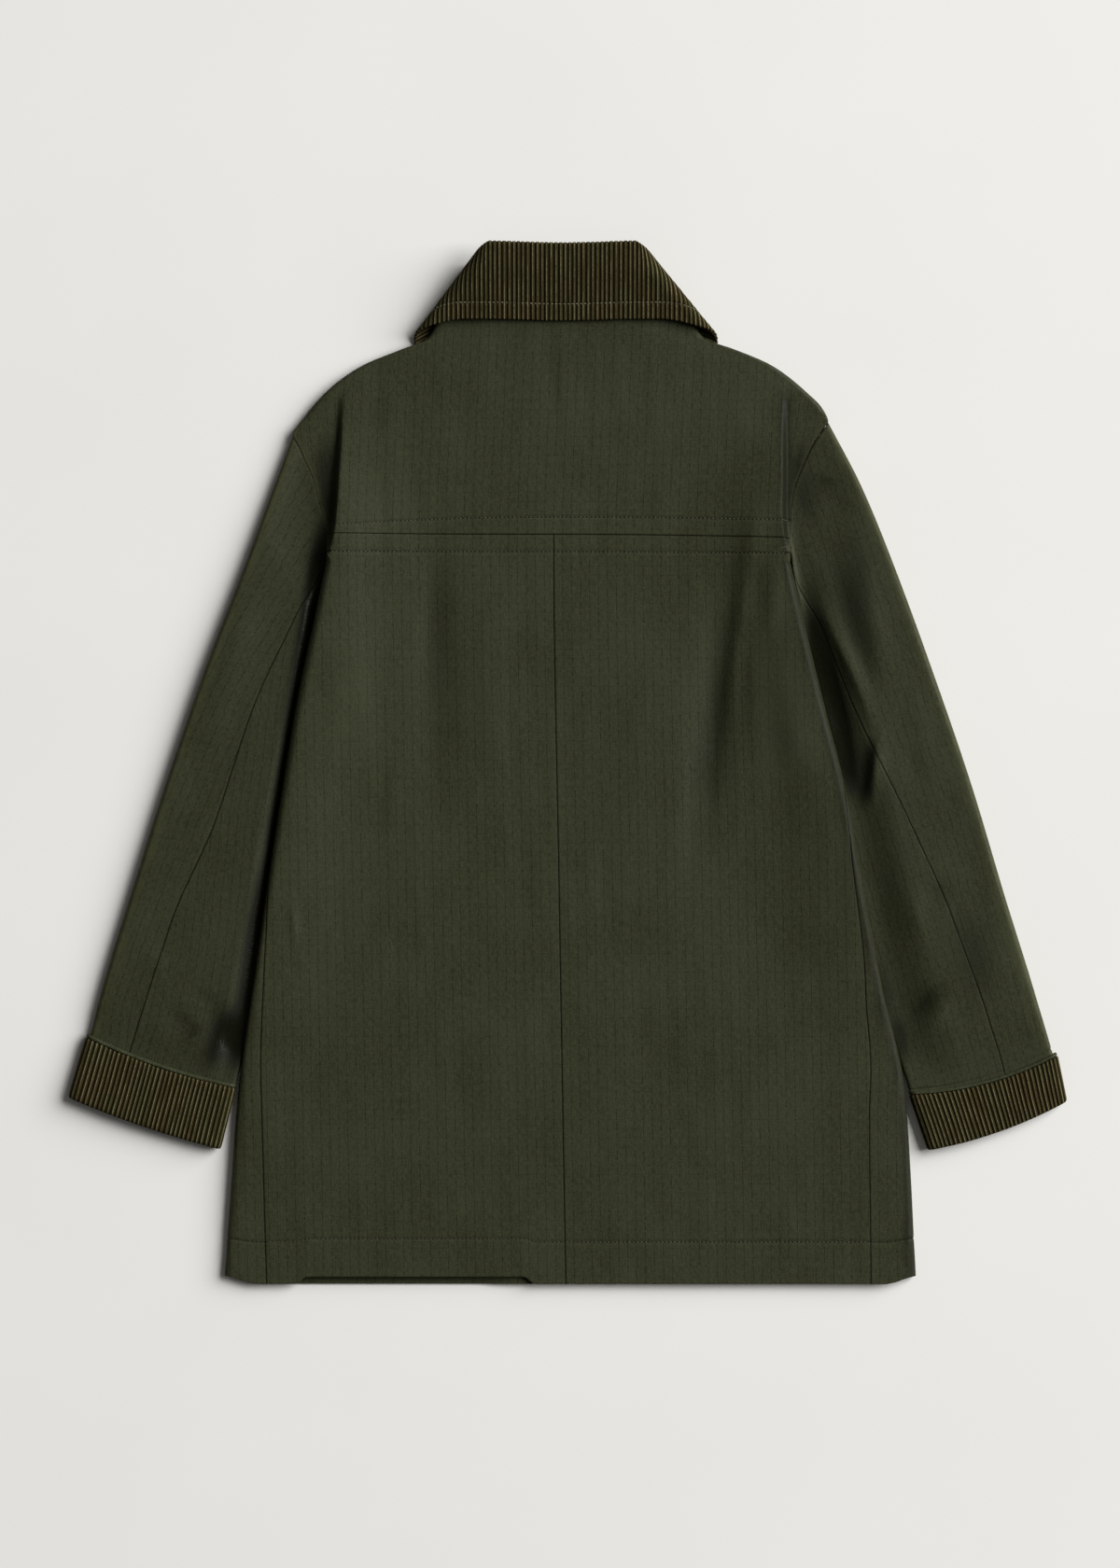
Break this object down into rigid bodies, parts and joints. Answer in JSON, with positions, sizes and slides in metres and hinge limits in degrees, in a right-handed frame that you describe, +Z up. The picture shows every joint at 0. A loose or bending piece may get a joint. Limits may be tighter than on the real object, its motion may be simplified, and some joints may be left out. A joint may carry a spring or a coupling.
{
  "type": "oilskin jacket",
  "caption": "Hip-length oilskin jacket with corduroy collar and turn-back cuffs, laid flat face down with its back showing.",
  "frame": {"origin": "middle of the bounding box, on the surface the jacket lies on", "axes": "+Z up away from that surface, out of the jacket's back; +Y from the hem towards the collar; +X to the right as the back is seen"},
  "size_m": [0.7476, 0.78, 0.0272],
  "materials": {
    "oilskin": "waxed, dull sheen",
    "corduroy": "wide-wale pile"
  },
  "bodies": {
    "root": {"back_left": "oilskin", "back_right": "oilskin", "back_yoke": "oilskin", "front_left": "oilskin", "front_right": "oilskin", "sleeve_left_top": "oilskin", "sleeve_left_under": "oilskin", "sleeve_right_top": "oilskin", "sleeve_right_under": "oilskin", "cuff_edge_left": "oilskin", "cuff_edge_right": "oilskin", "collar_stand": "oilskin", "collar_leaf": "corduroy", "cuff_left": "corduroy", "cuff_right": "corduroy"}
  },
  "joints": []
}
